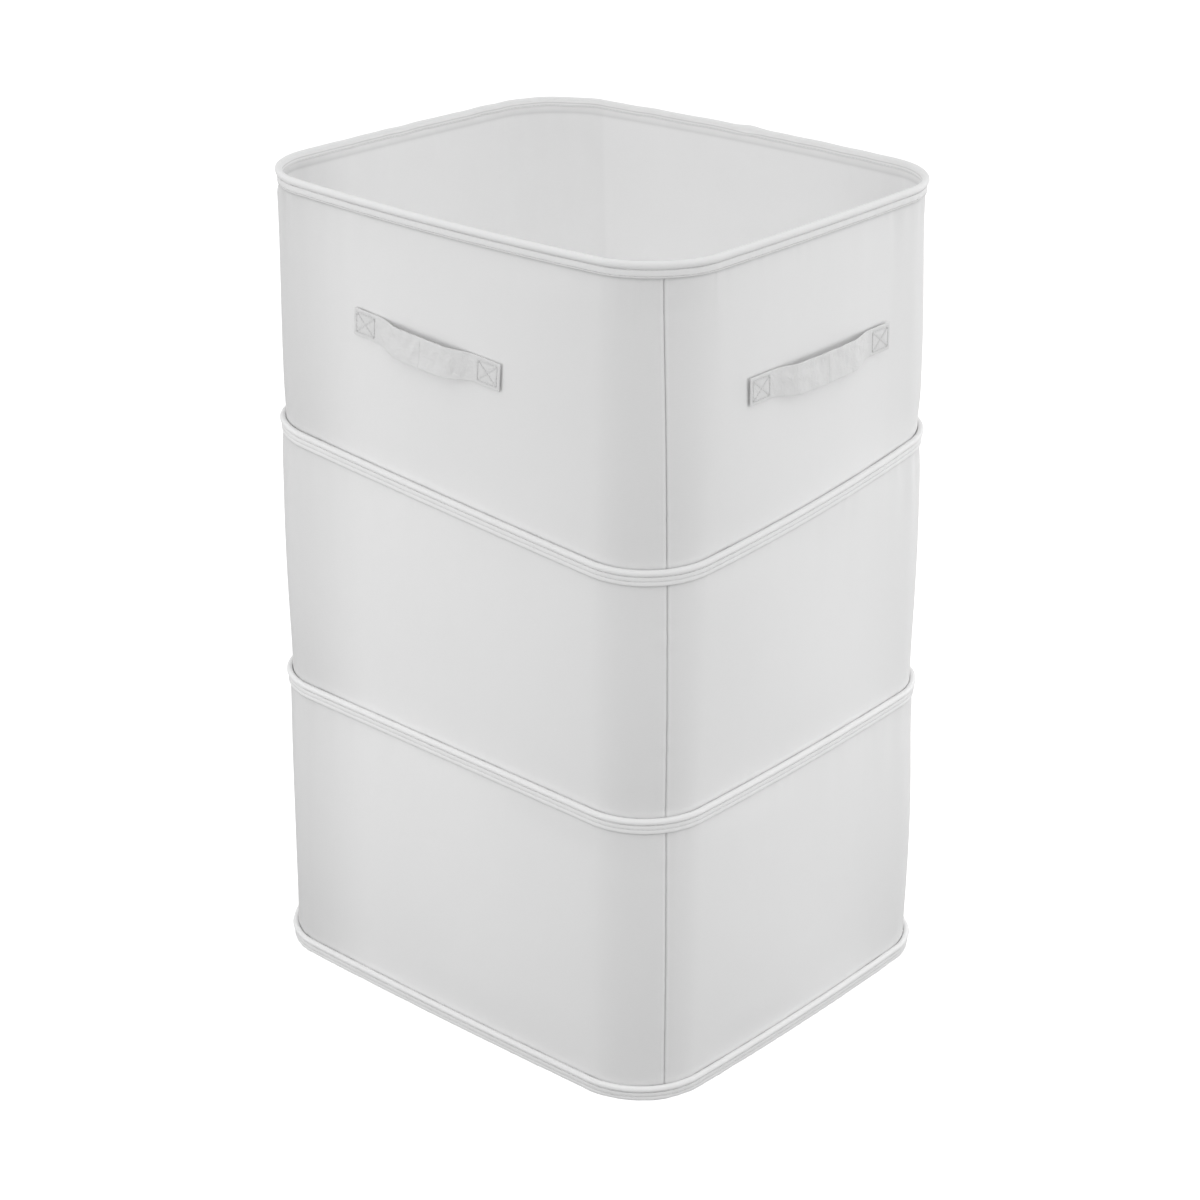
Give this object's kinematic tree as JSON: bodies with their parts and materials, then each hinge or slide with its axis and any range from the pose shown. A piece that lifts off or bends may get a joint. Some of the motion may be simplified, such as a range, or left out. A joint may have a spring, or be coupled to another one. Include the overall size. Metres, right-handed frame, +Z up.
{
  "type": "fabric storage bin",
  "caption": "Tall open-topped white cloth storage bin that collapses flat, with wire-hooped stitched bands round its tiers and strap handles.",
  "frame": {"origin": "centre of the bin's footprint, on the floor", "axes": "+Z up out of the open top; X along the wider sides, -Y out of the front side, whose right-hand corner has the wall seams"},
  "size_m": [0.4028, 0.3434, 0.5954],
  "materials": {
    "wall_cloth": "matte",
    "binding_tape": "matte",
    "strap_cloth": "matte",
    "stiff_board": "matte",
    "hoop_wire": "satin",
    "ferrule": "satin"
  },
  "bodies": {
    "base": {"base_tape": "binding_tape", "base_hoop": "hoop_wire", "base_ferrule": "ferrule", "base_panel": "wall_cloth", "base_board": "stiff_board", "base_lining": "wall_cloth", "lower_wall": "wall_cloth"},
    "lower_ring": {"lower_tape": "binding_tape", "lower_hoop": "hoop_wire", "lower_ferrule": "ferrule", "middle_wall": "wall_cloth"},
    "upper_ring": {"upper_tape": "binding_tape", "upper_hoop": "hoop_wire", "upper_ferrule": "ferrule", "upper_wall": "wall_cloth"},
    "rim_ring": {"rim_tape": "binding_tape", "rim_hoop": "hoop_wire", "rim_ferrule": "ferrule"},
    "handle_ends": {"front_strap_end_a": "strap_cloth", "front_strap_end_b": "strap_cloth", "right_strap_end_a": "strap_cloth", "right_strap_end_b": "strap_cloth", "back_strap_end_a": "strap_cloth", "back_strap_end_b": "strap_cloth", "left_strap_end_a": "strap_cloth", "left_strap_end_b": "strap_cloth"},
    "front_grip": {"front_strap_grip": "strap_cloth"},
    "right_grip": {"right_strap_grip": "strap_cloth"},
    "back_grip": {"back_strap_grip": "strap_cloth"},
    "left_grip": {"left_strap_grip": "strap_cloth"}
  },
  "joints": [
    {"name": "lower_tier_fold", "type": "slide", "parent": "base", "child": "lower_ring", "axis": [0, 0, 1], "range_m": [-0.1776, 0], "deforming": ["lower_wall"]},
    {"name": "middle_tier_fold", "type": "slide", "parent": "lower_ring", "child": "upper_ring", "axis": [0, 0, 1], "range_m": [-0.1512, 0], "deforming": ["middle_wall"]},
    {"name": "upper_tier_fold", "type": "slide", "parent": "upper_ring", "child": "rim_ring", "axis": [0, 0, 1], "range_m": [-0.1377, 0], "deforming": ["upper_wall"]},
    {"name": "handle_ends_follow", "type": "slide", "parent": "upper_ring", "child": "handle_ends", "axis": [0, 0, 1], "range_m": [-0.0776, 0]},
    {"name": "front_grip_swing", "type": "hinge", "parent": "handle_ends", "child": "front_grip", "pos_m": [-0.007, -0.16267, 0.5135], "axis": [-0.9969, 0, 0.0785], "range_deg": [0, 55]},
    {"name": "right_grip_swing", "type": "hinge", "parent": "handle_ends", "child": "right_grip", "pos_m": [0.19292, 0, 0.5075], "axis": [0, -0.9998, -0.0175], "range_deg": [0, 55]},
    {"name": "back_grip_swing", "type": "hinge", "parent": "handle_ends", "child": "back_grip", "pos_m": [0.007, 0.16267, 0.5135], "axis": [0.9969, 0, 0.0785], "range_deg": [0, 55]},
    {"name": "left_grip_swing", "type": "hinge", "parent": "handle_ends", "child": "left_grip", "pos_m": [-0.19292, 0, 0.5075], "axis": [0, 0.9998, -0.0175], "range_deg": [0, 55]}
  ],
  "couplings": [
    {"joint": "handle_ends_follow", "follows": "upper_tier_fold", "ratio": 0.5635}
  ]
}
